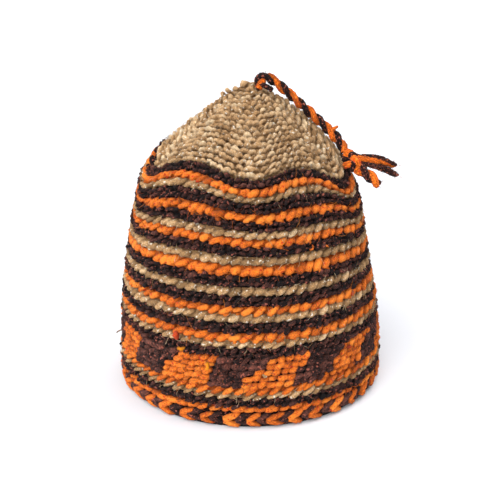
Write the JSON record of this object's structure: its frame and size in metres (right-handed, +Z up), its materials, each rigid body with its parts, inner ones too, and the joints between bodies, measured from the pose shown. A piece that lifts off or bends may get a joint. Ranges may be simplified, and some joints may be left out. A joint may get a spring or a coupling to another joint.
{
  "type": "knit hat",
  "caption": "Tall striped wool hat worked in rounds, with a soft cornered crown, a check band, a scalloped edging and a twisted cord that hangs from the tip.",
  "frame": {"origin": "centre of the rim, at the level of its underside", "axes": "+Z up to the tip of the crown, -Y to the front, +X to the side that the cord hangs on"},
  "size_m": [0.188, 0.1832, 0.2127],
  "materials": {
    "beige_wool": "matt",
    "striped_wool": "matt",
    "check_wool": "matt",
    "edging_wool": "matt",
    "twisted_wool": "matt"
  },
  "bodies": {
    "root": {"crown": "beige_wool", "striped_side": "striped_wool", "check_band": "check_wool", "edging": "edging_wool", "cord": "twisted_wool", "tassel": "twisted_wool"}
  },
  "joints": []
}
